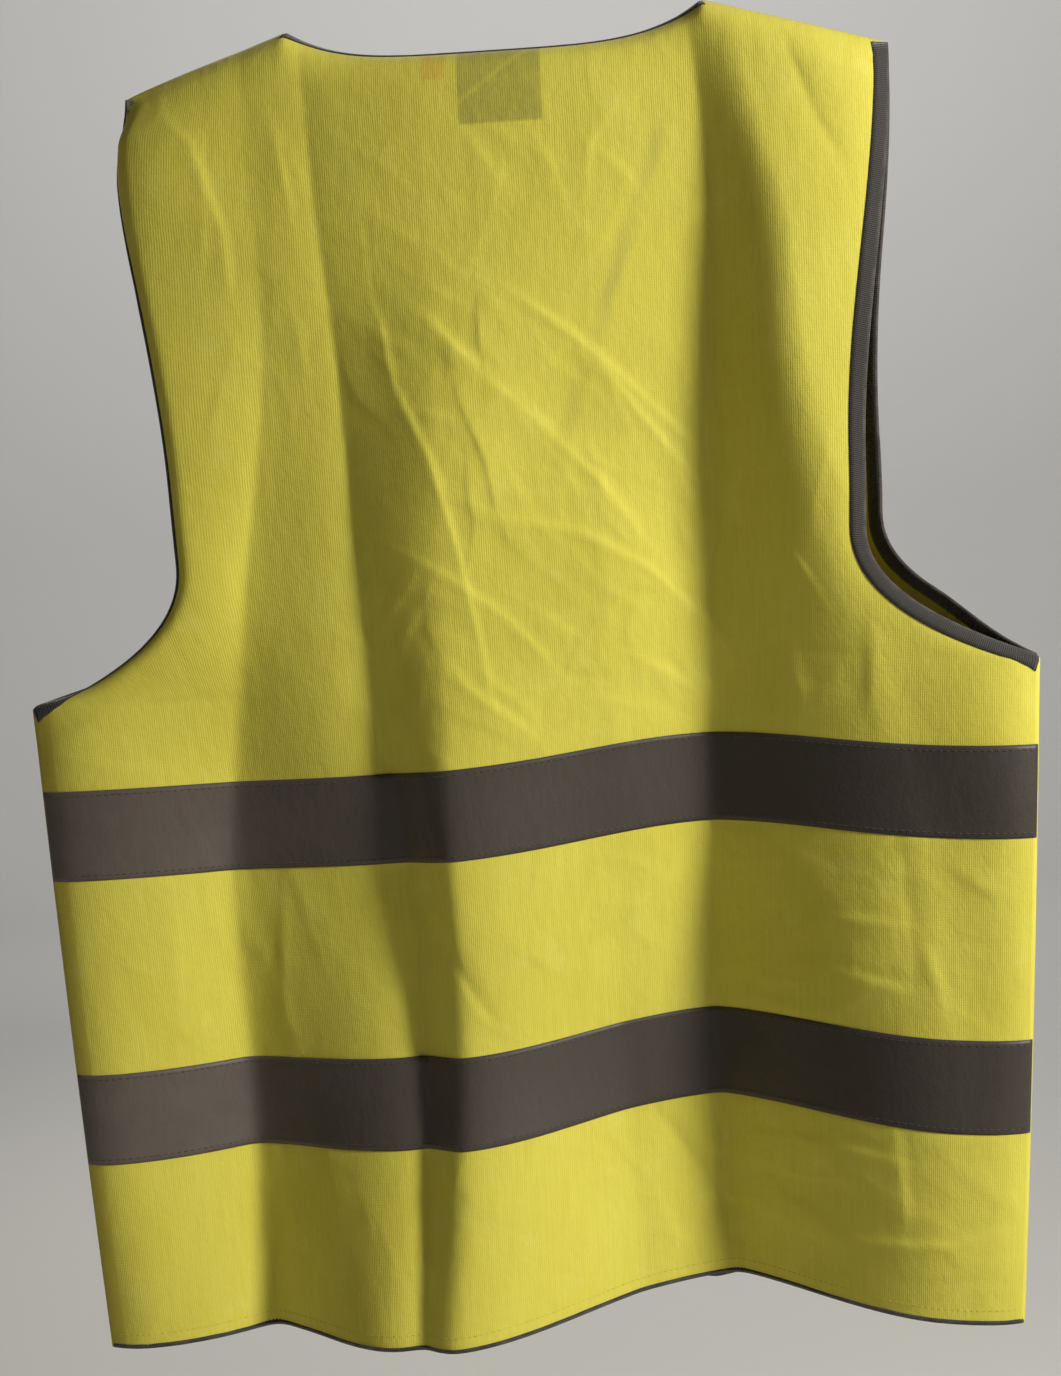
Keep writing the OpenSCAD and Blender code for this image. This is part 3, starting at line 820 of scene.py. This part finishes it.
def knit(name, paints_show_through):
    """Ribbed warp knit. Its flag adds painted shade and tint that show faintly through the thin cloth of the
    back.
    """
    f = Finish(name, Roughness=0.72, Sheen_Weight=0.12, Sheen_Roughness=0.5, Specular_IOR_Level=0.25)
    drift = f.times(f.noise(60, 25), 9.0)
    rib = f.wave(f.x, 0.0012, drift)
    course = f.wave(f.v, 0.0009)
    streak = f.noise(620, 22, 3, 0.6)
    mottle = f.noise(14, 10, 4, 0.55)
    fuzz = f.noise(1900, 1500, 2)
    shade = f.math("MULTIPLY_ADD", rib, 0.16, f.times(f.span(streak, 0.3, 0.7), 0.42))
    shade = f.math("ADD", shade, f.times(f.span(mottle, 0.3, 0.7), 0.42))
    color = f.blend(shade, YELLOW_DEEP, YELLOW)
    worn = f.span(f.noise(35, 30, 5, 0.65), 0.58, 0.78, 0.0, 0.5)
    color = f.blend(worn, color, YELLOW_WORN)
    if paints_show_through:
        color = painted_show_through(f, color)
    weave = f.math("ADD", f.times(rib, 0.6), f.times(course, 0.25))
    weave = f.math("MULTIPLY_ADD", fuzz, 0.35, weave)
    normal = f.bump(weave, 0.00016, 0.55)
    rumple = f.noise(95, 70, 4, 0.6)
    normal = f.bump(rumple, 0.0011, 0.5, normal)
    return f.done(color, normal, f.span(streak, 0.2, 0.8, 0.64, 0.82))


def painted_show_through(f, plain):
    """Painted shade and tint on the outer side of the thin back, where label, size tab, front bindings and
    side allowance lie behind it.
    Places are metres on the cut cloth."""
    color = plain
    # Painted shade of the care label behind the cloth: a patchy dark rectangle, weaker along a line across
    # it.
    blotch = f.span(f.noise(160, 110, 3, 0.6), 0.3, 0.7, 0.7, 1.0)
    label = f.area(-0.0255, 0.0195, 0.016, 0.0625, 0.0012)
    fold = f.math("ABSOLUTE", f.math("SUBTRACT", f.math("MULTIPLY_ADD", f.x, 0.75, 0.036), f.v))
    label = f.times(label, f.span(fold, 0.0, 0.0035, 0.70, 1.0, soft=True))
    color = f.blend(f.times(label, f.times(blotch, 0.60)), color, (0.20, 0.19, 0.04, 1))
    # Painted tint of the orange size tab behind the cloth.
    tab = f.area(0.0265, 0.0385, 0.019, 0.037, 0.001)
    color = f.blend(f.times(tab, 0.30), color, (0.62, 0.26, 0.03, 1))
    for side, weight in ((-1, 0.30), (1, 0.10)):
        # Painted shadow of each front's bound V-neck edge seen through the back, along the line from the
        # neck point to the middle of the chest, stronger on the wearer's right.
        line = f.math("MULTIPLY_ADD", f.v, -side * 0.36, side * 0.114)
        off = f.math("ABSOLUTE", f.math("SUBTRACT", f.x, line))
        near = f.span(off, 0.001, 0.0075, 1.0, 0.0, soft=True)
        near = f.times(near, f.window(f.v, 0.07, 0.245, 0.025))
        patchy = f.span(f.noise(28, 24, 2), 0.42, 0.66, 0.25, 1.0)
        share = f.times(f.times(near, patchy), weight)
        color = f.blend(share, color, (0.24, 0.23, 0.08, 1))
    # Painted shade of the left side seam's allowance behind the cloth, below the armpit.
    allowance = f.times(f.window(f.x, 0.2795, 0.30, 0.0008), f.span(f.v, 0.365, 0.369))
    color = f.blend(f.times(allowance, 0.30), color, (0.40, 0.30, 0.02, 1))
    return f.blend(f.math("GREATER_THAN", f.outside, 0.0005), plain, color)


def tape_finish():
    """Reflective tape of tiny glass beads: a dull grey satin, finely speckled and a little crazed, with
    painted reflection.
    """
    f = Finish("glass_bead_tape", Metallic=0.15, Roughness=0.5, Specular_IOR_Level=0.4,
               Sheen_Weight=0.25, Sheen_Roughness=0.35)
    grain = f.noise(1500, 1500, 2, 0.7)
    cloud = f.noise(16, 22, 4, 0.6)
    # Painted reflection: the tape runs from dark on the wearer's right to bright on the wearer's left, in
    # place of the glass beads' reflection.
    side = f.math("POWER", f.span(f.x, -0.29, 0.29), 2.6)
    color = f.blend(side, (0.040, 0.031, 0.025, 1), (0.155, 0.126, 0.102, 1))
    color = f.blend(f.span(grain, 0.35, 0.65, 0.0, 0.30), color, (0.13, 0.112, 0.095, 1))
    color = f.blend(f.span(cloud, 0.35, 0.7, 0.0, 0.35), color, (0.06, 0.045, 0.038, 1))
    crackle = f.noise(420, 300, 5, 0.7)
    color = f.blend(f.span(crackle, 0.62, 0.72, 0.0, 0.25), color, (0.03, 0.025, 0.02, 1))
    normal = f.bump(f.math("ADD", f.times(grain, 0.4), crackle), 0.0002, 0.5)
    rumple = f.noise(120, 60, 3, 0.55)
    normal = f.bump(rumple, 0.0009, 0.45, normal)
    return f.done(color, normal, f.span(cloud, 0.3, 0.7, 0.42, 0.6))


def braid_finish():
    """Dark braid: fine ribs across it, and paler where its folded edge is rubbed."""
    f = Finish("dark_braid", Roughness=0.8, Sheen_Weight=0.3, Sheen_Roughness=0.45, Specular_IOR_Level=0.3)
    # On a braid x runs along it, and v across it from its folded edge.
    rib = f.wave(f.x, 0.0011)
    thread = f.wave(f.v, 0.0008)
    wear = f.noise(90, 260, 4, 0.65)
    color = f.blend(rib, (0.026, 0.022, 0.020, 1), (0.062, 0.054, 0.050, 1))
    rubbed = f.times(f.window(f.v, -0.0012, 0.0014, 0.0008), f.span(wear, 0.4, 0.65))
    color = f.blend(f.times(rubbed, 0.6), color, (0.13, 0.115, 0.105, 1))
    color = f.blend(f.span(wear, 0.5, 0.75, 0.0, 0.4), color, (0.085, 0.075, 0.070, 1))
    height = f.math("MULTIPLY_ADD", thread, 0.35, rib)
    return f.done(color, f.bump(height, 0.00028, 0.8), f.span(wear, 0.3, 0.7, 0.7, 0.9))


def thread_finish(name, dark, light):
    f = Finish(name, Roughness=0.6, Sheen_Weight=0.3)
    place = f.nodes.new("ShaderNodeTexCoord").outputs["Object"]
    grow = f.nodes.new("ShaderNodeVectorMath")
    grow.operation = "SCALE"
    grow.inputs["Scale"].default_value = 900
    f.links.new(place, grow.inputs[0])
    twist = f.noise_at(grow.outputs[0], 2, 0.6)
    return f.done(f.blend(f.span(twist, 0.35, 0.65), dark, light), f.bump(twist, 0.0001, 0.6))


def patch_finish(name, hooks):
    """Hook tape is a rank of small stiff hooks, and loop tape a felted pile."""
    f = Finish(name, Roughness=0.85, Sheen_Weight=0.1 if hooks else 0.4, Sheen_Roughness=0.5)
    pile = f.noise(1300, 1100, 4, 0.75)
    rank = f.times(f.wave(f.x, 0.0016), f.wave(f.v, 0.0013))
    height = f.math("MULTIPLY_ADD", pile, 0.3, rank) if hooks else pile
    color = f.blend(f.span(height, 0.2, 0.8), (0.010, 0.010, 0.010, 1), (0.05, 0.048, 0.046, 1))
    lint = f.span(f.noise(240, 210, 4, 0.8), 0.66, 0.75, 0.0, 0.5)
    color = f.blend(lint, color, (0.25, 0.24, 0.20, 1))
    return f.done(color, f.bump(height, 0.0006, 0.9), f.span(pile, 0.3, 0.7, 0.75, 0.95))


def satin_finish(name, dark, light):
    """Woven satin of a label: fine threads across, and no lettering."""
    f = Finish(name, Roughness=0.5, Sheen_Weight=0.2, Specular_IOR_Level=0.4)
    weft = f.wave(f.v, 0.0005)
    streak = f.noise(90, 900, 3, 0.6)
    color = f.blend(f.span(streak, 0.3, 0.7), dark, light)
    color = f.blend(f.times(weft, 0.3), color, dark)
    normal = f.bump(f.math("ADD", weft, streak), 0.00012, 0.6)
    return f.done(color, normal, f.span(streak, 0.3, 0.7, 0.42, 0.6))


BACK_KNIT = knit("knit_back", True)
FRONT_KNIT = knit("knit_front", False)
TAPE = tape_finish()
BRAID = braid_finish()
DARK_THREAD = thread_finish("dark_thread", (0.012, 0.010, 0.009, 1), (0.05, 0.043, 0.04, 1))
YELLOW_THREAD = thread_finish("yellow_thread", (0.42, 0.36, 0.03, 1), (0.70, 0.62, 0.09, 1))
HOOKS = patch_finish("hook_tape", True)
LOOPS = patch_finish("loop_tape", False)
LABEL = satin_finish("label_satin", (0.075, 0.080, 0.062, 1), (0.16, 0.17, 0.135, 1))
TAB = satin_finish("tab_satin", (0.55, 0.14, 0.015, 1), (0.86, 0.30, 0.05, 1))


# ---------------------------------------------------------------- camera, floor and lights

def look(obj, place, target, roll=0.0):
    obj.location = place
    turn = (Vector(target) - Vector(place)).to_track_quat("-Z", "Y").to_matrix()
    obj.rotation_euler = (turn @ Matrix.Rotation(roll, 3, "Z")).to_euler()


def around(target, azimuth, elevation, distance):
    """A place seen from the target at an azimuth from +Y towards -X, and an elevation, in degrees."""
    a, e = math.radians(azimuth), math.radians(elevation)
    towards = Vector((-math.sin(a) * math.cos(e), math.cos(a) * math.cos(e), math.sin(e)))
    return Vector(target) + distance * towards


def make_camera():
    camera = bpy.data.objects.new("camera", bpy.data.cameras.new("camera"))
    bpy.context.scene.collection.objects.link(camera)
    target = (-0.002, 0, -0.366)
    look(camera, around(target, 4.1, 0.3, 1.0), target, math.radians(-3))
    camera.data.sensor_fit = "VERTICAL"
    camera.data.sensor_height = 36
    camera.data.lens = 47.9
    bpy.context.scene.camera = camera


def make_light(name, shape, place, target, size, power, color=(1, 1, 1)):
    light = bpy.data.lights.new(name, "AREA")
    light.shape = shape
    light.size = size
    light.energy = power
    light.color = color
    lamp = bpy.data.objects.new(name, light)
    bpy.context.scene.collection.objects.link(lamp)
    look(lamp, place, target)
    return lamp


def make_lights():
    """A small key light from the wearer's right, weaker light from behind and in front, and a wide lamp
    that lights the backdrop beyond the vest."""
    chest = (0, 0, -0.35)
    for name, azimuth, elevation, distance, size, power, color in (
            ("key_light", 66.5, 21, 1.75, 0.36, 36, (1.0, 0.985, 0.93)),
            ("fill_light", 10, 30, 2.6, 1.6, 0.8, (1.0, 0.92, 0.80)),
            ("front_light", 200, 35, 1.9, 1.2, 13, (1.0, 0.97, 0.93))):
        make_light(name, "DISK", around(chest, azimuth, elevation, distance), chest, size, power, color)
    backdrop = make_light("backdrop_light", "SQUARE", (0, -2.6, 2.6), (0, -8.6, -0.6), 3.0, 80)
    backdrop.visible_camera = False


def make_studio():
    """A pale round floor that curves up into a wall all round the vest, in a dim world."""
    floor_z, corner, flat, top, sectors = -1.0, 1.2, 4.5, 6.0, 96
    profile = [(flat + corner * math.sin(a), floor_z + corner * (1 - math.cos(a)))
               for a in np.linspace(0, math.pi / 2, 13)]
    profile.append((flat + corner, top))
    turns = np.linspace(0, 2 * math.pi, sectors, endpoint=False)
    points = [(r * math.cos(a), r * math.sin(a), z) for r, z in profile for a in turns]
    # The rings without the tube's two ends, and the middle of the floor.
    faces = [list(range(sectors))] + tube_faces(len(profile), sectors)[:-2]
    paint = Finish("pale_floor", Roughness=0.8).done((0.70, 0.69, 0.67, 1))
    floor = mesh_piece("studio_floor", np.array(points) * 1000, faces, paint)
    world = bpy.data.worlds.new("pale_world")
    world.use_nodes = True
    sky = world.node_tree.nodes["Background"]
    sky.inputs["Color"].default_value = (1.0, 0.93, 0.82, 1)
    sky.inputs["Strength"].default_value = 0.012
    bpy.context.scene.world = world


bpy.context.scene.view_settings.view_transform = "Standard"
make_camera()
make_studio()
make_lights()

# ---------------------------------------------------------------- the pieces

BACK = hang_back()
FRONTS = {"left": hang_front(1, 31), "right": hang_front(-1, 47)}
PANELS = {"back": BACK, **FRONTS}
JOINTS = {joint["name"]: joint for joint in frame["joints"]}


def on_shell(piece, slot, *nodes):
    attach(piece, "shell")
    return declare(piece, nodes)


def declare(piece, nodes=()):
    if nodes:
        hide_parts(*nodes)
    return piece


def on_front(piece, side, slot, *nodes):
    """Bakes a piece of a front in place and hides its CAD nodes; the fold line on which its flap swings is
    looked up but not used.
    """
    joint = JOINTS[side + "_front_swing"]
    place, axis = Vector(joint["pos_m"]), Vector(joint["axis"]).normalized()
    inward = Vector((-SIDES[side], 0, 0))
    inward = (inward - axis * inward.dot(axis)).normalized()
    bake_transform(piece)
    return declare(piece, nodes)


def on_panel(piece, side, slot, *nodes):
    return on_front(piece, side, slot, *nodes) if side in SIDES else on_shell(piece, slot, *nodes)


def sewn_nodes(side, part):
    """The CAD nodes of a part that is sewn right across a panel, of which each front has two."""
    return [f"{side}_front_{part}", f"{side}_flap_{part}"] if side in SIDES else [f"back_{part}"]


def grid_of(x, v):
    return np.meshgrid(np.asarray(x, float), np.asarray(v, float))


def across_panel(side, v, step=2.2, inset=0.6):
    """Rows of x across a panel at each drop, from one edge to the other."""
    if side == "back":
        low, high = -half_width(v) + inset, half_width(v) - inset
    else:
        outer, inner = half_width(v, True) - inset, front_edge(v) + inset
        low, high = (outer, inner) if SIDES[side] > 0 else (-inner, -outer)
    count = int(np.max(np.abs(high - low)) / step)
    x = mix(low[:, None], high[:, None], np.linspace(0, 1, count)[None, :])
    return x, np.repeat(v[:, None], count, 1)


def make_cloth():
    on_shell(panel_piece("back_cloth", BACK, BACK_KNIT), "yellow_knit", "back_panel")
    for side, panel in FRONTS.items():
        front = panel_piece(side + "_front_cloth", panel, FRONT_KNIT)
        on_front(front, side, "yellow_knit", side + "_front_panel", side + "_flap")


def make_tapes():
    low, high = KNIT / 2 + 0.03, KNIT / 2 + 0.38
    for level, top in (("upper", UPPER_TAPE), ("lower", LOWER_TAPE)):
        v = np.linspace(top, top + TAPE_W, 21)
        for side, panel in PANELS.items():
            x, rows = across_panel(side, v)
            tape = strip_piece(f"{side}_{level}_tape_strip", panel, x, rows, low, high, TAPE)
            on_panel(tape, side, "reflective_tape", *sewn_nodes(side, level + "_tape"))


def braid(name, bits, side, *nodes):
    on_panel(piece_from_bits(name, bits, BRAID), side, "dark_binding", *nodes)


def turned(x, v, wanted):
    """The same line, from its other end where that is wanted."""
    return (x[::-1], v[::-1]) if wanted else (x, v)


def make_hem_braid(side, low, high, count, seed):
    x = np.linspace(low, high, count)
    if side == "right":
        x = -x[::-1]
    bit = binding_bit(PANELS[side], x, np.full(count, LENGTH - 0.4), 1.3, BIND_W, seed)
    braid(side + "_hem_braid", [bit], side, *sewn_nodes(side, "hem_edging"))


def make_front_braid(side, panel, s):
    """The binding from the neck point along the V-neck, round its lower end and down the front edge."""
    bend = 14
    v = np.concatenate([np.linspace(1, V_DROP - bend, 90), V_DROP + bend * np.linspace(-1, 1, 15)[1:-1],
                        np.linspace(V_DROP + bend, LENGTH - 1, 140)])
    x, v = turned(s * (front_edge(v) + 0.1), v, s < 0)
    bit = binding_bit(panel, x, v, BIND_W, BIND_W, 6)
    braid(side + "_front_braid", [bit], side, side + "_front_binding")


def make_armhole_braid(side, panel, s):
    bits = []
    for here, is_front in ((BACK, False), (panel, True)):
        x, v = armhole_line(is_front)
        x, v = turned(s * (x - 0.1), v, s > 0)
        # On the left the braid is rolled inside near the shoulder, together with the cloth's edge.
        rolled = s > 0 and not is_front
        outer_w = mix(1.0, BIND_W, ease((v - 45) / 45)) if rolled else BIND_W
        bits.append(binding_bit(here, x, v, outer_w, BIND_W, 7 + is_front))
    braid(side + "_armhole_braid", bits, "back", side + "_armhole_binding")


def make_bindings():
    x = np.linspace(-NECK_HALF + 1, NECK_HALF - 1, 120)
    bit = binding_bit(BACK, -x, neck_line(x) + 0.3, BIND_W, 5, 3)
    braid("back_neck_braid", [bit], "back", "back_neck_binding")
    end = half_width(LENGTH) - 1
    make_hem_braid("back", -end, end, 260, 4)
    for side, panel in FRONTS.items():
        make_hem_braid(side, FRONT_EDGE + 0.5, end, 130, 5)
        make_front_braid(side, panel, SIDES[side])
        make_armhole_braid(side, panel, SIDES[side])


def make_seams():
    """The folded allowances inside the shoulder and side seams."""
    low, high = -KNIT / 2 - 1.5, -KNIT / 2 - 0.1
    across = np.linspace(1.2, 8, 8)
    for side, s in SIDES.items():
        share, depth = grid_of(np.linspace(0, 1, 60), across)
        shoulder_x = np.sort(s * mix(NECK_HALF + 2, SHOULDER_HALF - 9, share), axis=1)
        down = np.linspace(ARMPIT + 12, LENGTH - 9, 150)[:, None]
        side_x = np.sort(s * (half_width(down) - across), axis=1)
        for seam, x, v in (("shoulder", shoulder_x, shoulder_line(shoulder_x) + depth),
                           ("side", side_x, np.repeat(down, len(across), 1))):
            strip = strip_piece(f"{side}_{seam}_allowance", BACK, x, v, low, high, BACK_KNIT)
            on_shell(strip, "yellow_knit", f"{side}_{seam}_seam")


def sew(name, rows, lift, inset, from_edge, counts, size, thread, slot):
    """Rows of stitches across all three panels, a little in from the side seams and front edges."""
    for side, panel in PANELS.items():
        bits = []
        for v in rows:
            end = half_width(v) - inset
            if side == "back":
                x = np.linspace(-end, end, counts[0])
            else:
                x = SIDES[side] * np.linspace(FRONT_EDGE + from_edge, end, counts[1])
            bits += stitch_row(panel, x, np.full(x.shape, v), lift, *size)
        on_panel(piece_from_bits(side + name, bits, thread), side, slot)


def make_stitches():
    in_from_edge = 2.8
    offsets = (in_from_edge, TAPE_W - in_from_edge)
    rows = [top + offset for top in (UPPER_TAPE, LOWER_TAPE) for offset in offsets]
    on_tape_top, on_cloth = KNIT / 2 + 0.42, KNIT / 2 + 0.05
    # Each row's ends, its counts of points on the back and on a front, and its stitches.
    tape_row = (1, 9.5, (400, 220), TAPE_STITCH)
    hem_row = (3, 10, (300, 160), (3.4, 2.5, 0.16))
    sew("_tape_stitches", rows, on_tape_top, *tape_row, DARK_THREAD, "dark_binding")
    sew("_hem_stitches", [LENGTH - 7.5], on_cloth, *hem_row, YELLOW_THREAD, "yellow_knit")


def patch_place(name):
    """The middle and half-size of a hook or loop patch, from its CAD solid."""
    low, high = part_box(name)
    middle, half = (low + high) * 500, (high - low) * 500
    return middle.x, -middle.z, half.x, half.z


def make_patch(name, side, inside):
    """A hook or loop patch with rounded rims, and the stitches round it."""
    panel = FRONTS[side]
    thick = 1.25
    x0, v0, half_x, half_v = patch_place(name + "_patch")
    x, v = grid_of(x0 + half_x * np.linspace(1, -1, 25), v0 + half_v * np.linspace(-1, 1, 25))
    rounded = np.maximum(np.abs(x - x0) / half_x, np.abs(v - v0) / half_v) ** 10
    top = KNIT / 2 + 0.08 + thick * (1 - 0.45 * rounded)
    base = np.full(top.shape, KNIT / 2 + 0.05)
    low, high = (-top, -base) if inside else (base, top)
    outer, inner = panel.at(x, v, high), panel.at(x, v, low)
    patch = shell_piece(name + "_pad", outer, inner, (x, v), HOOKS if inside else LOOPS)
    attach(patch, side + "_front")
    declare(patch, [name + "_patch"])
    corner_x = np.array([-1, 1, 1, -1, -1]) * (half_x - 1.8) + x0
    corner_v = np.array([-1, -1, 1, 1, -1]) * (half_v - 1.8) + v0
    lift = (KNIT / 2 + thick * 0.95) * (-1 if inside else 1)
    bits = []
    for n in range(4):
        line_x, line_v = np.linspace(*corner_x[n:n + 2], 30), np.linspace(*corner_v[n:n + 2], 30)
        bits += stitch_row(panel, line_x, line_v, lift, 3.2, 2.4, 0.22)
    stitches = piece_from_bits(name + "_stitches", bits, DARK_THREAD)
    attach(stitches, side + "_front")
    declare(stitches)


def make_patches():
    for side, kind in (("left", "loop"), ("right", "hook")):
        for level in ("upper", "lower"):
            make_patch(f"{level}_{kind}", side, kind == "hook")


def make_label(name, node, body, material, wave):
    """A woven label that hangs from the neck binding, a little curved."""
    low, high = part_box(node)
    low, high = low * 1000, high * 1000
    x, z = grid_of(np.linspace(low.x, high.x, 41), np.linspace(high.z, low.z, 45))
    drop = (high.z - z) / (high.z - low.z)
    middle = (low.y + high.y) / 2
    y = middle + wave * drop ** 1.5 * np.sin(2.1 * (x - low.x) / (high.x - low.x) + 0.4)
    outer, inner = np.stack([x, y + 0.2, z], axis=-1), np.stack([x, y - 0.2, z], axis=-1)
    label = shell_piece(name, outer, inner, (x, -z), material)
    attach(label, body)
    declare(label, [node])


make_cloth()
make_tapes()
make_bindings()
make_seams()
make_stitches()
make_patches()
make_label("care_label_cloth", "care_label", "care_label", LABEL, -1.6)
make_label("size_tab_cloth", "size_tab", "size_tab", TAB, -0.9)


def write_sizes():
    import json


write_sizes()
